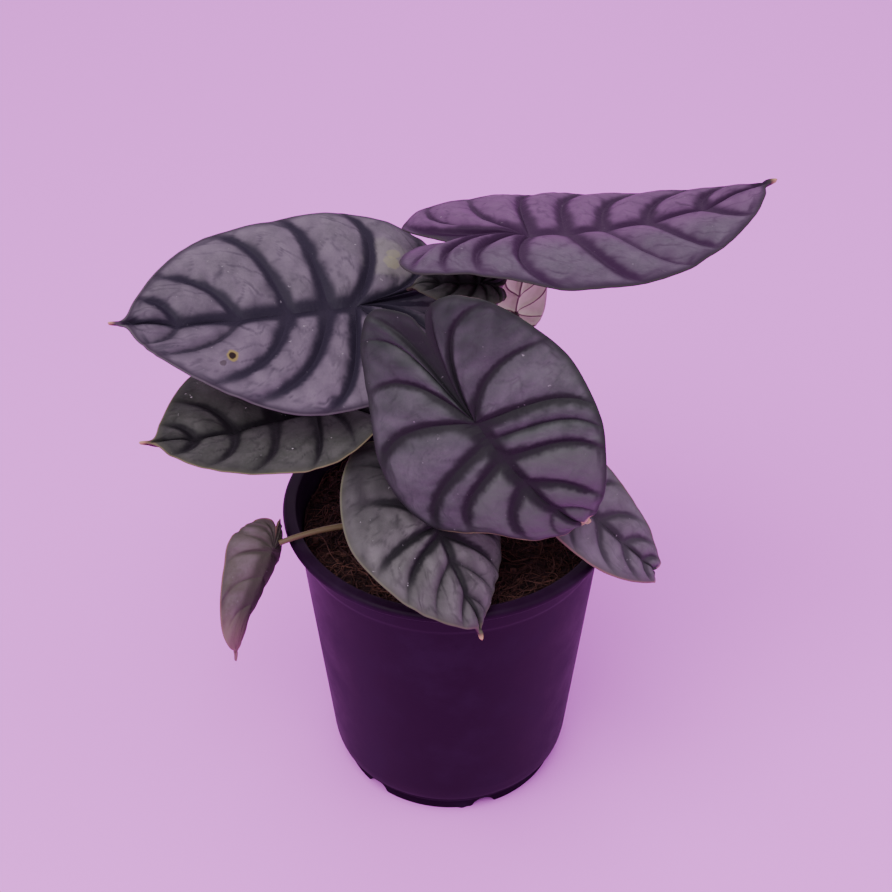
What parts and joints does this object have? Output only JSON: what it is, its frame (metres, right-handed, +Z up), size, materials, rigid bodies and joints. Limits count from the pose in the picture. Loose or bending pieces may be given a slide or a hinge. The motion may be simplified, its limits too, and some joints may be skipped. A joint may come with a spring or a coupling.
{
  "type": "potted plant",
  "caption": "Potted silver-leaved aroid: quilted shield-shaped leaves with dark veins and drip tips on slender stalks in a plain black nursery pot filled with coir.",
  "frame": {"origin": "centre of the pot's underside, on the surface it stands on", "axes": "+Z up along the pot's axis, -Y towards the picture's viewer, +X to the viewer's right"},
  "size_m": [0.2262, 0.1454, 0.2304],
  "materials": {
    "pot_plastic": "satin black plastic with a faint aubergine cast",
    "coir": "dark damp coir with loose pale fibres",
    "root_bark": "dry papery rootstock",
    "silver_blade": "silver-lilac quilted leaf, dark sunken veins",
    "grey_blade": "grey-green quilted leaf, dark sunken veins",
    "pale_blade": "pale pinkish underside with thin purple veins",
    "dry_blade": "drying leaf, dull green above, tan below",
    "green_stalk": "smooth olive stalk flushed with purple",
    "dry_stalk": "yellowed stalk, pink towards the leaf"
  },
  "bodies": {
    "root": {"pot": "pot_plastic", "soil": "coir", "crown": "root_bark", "stalk_left_large": "green_stalk", "blade_left_large": "silver_blade", "stalk_right_large": "green_stalk", "blade_right_large": "silver_blade", "stalk_front_large": "green_stalk", "blade_front_large": "silver_blade", "stalk_left_low": "green_stalk", "blade_left_low": "grey_blade", "stalk_front_low": "green_stalk", "blade_front_low": "grey_blade", "stalk_right_low": "green_stalk", "blade_right_low": "grey_blade", "stalk_back": "green_stalk", "blade_back": "pale_blade", "stalk_withered": "dry_stalk", "blade_withered": "dry_blade", "stalk_young": "green_stalk", "blade_young": "grey_blade"}
  },
  "joints": []
}
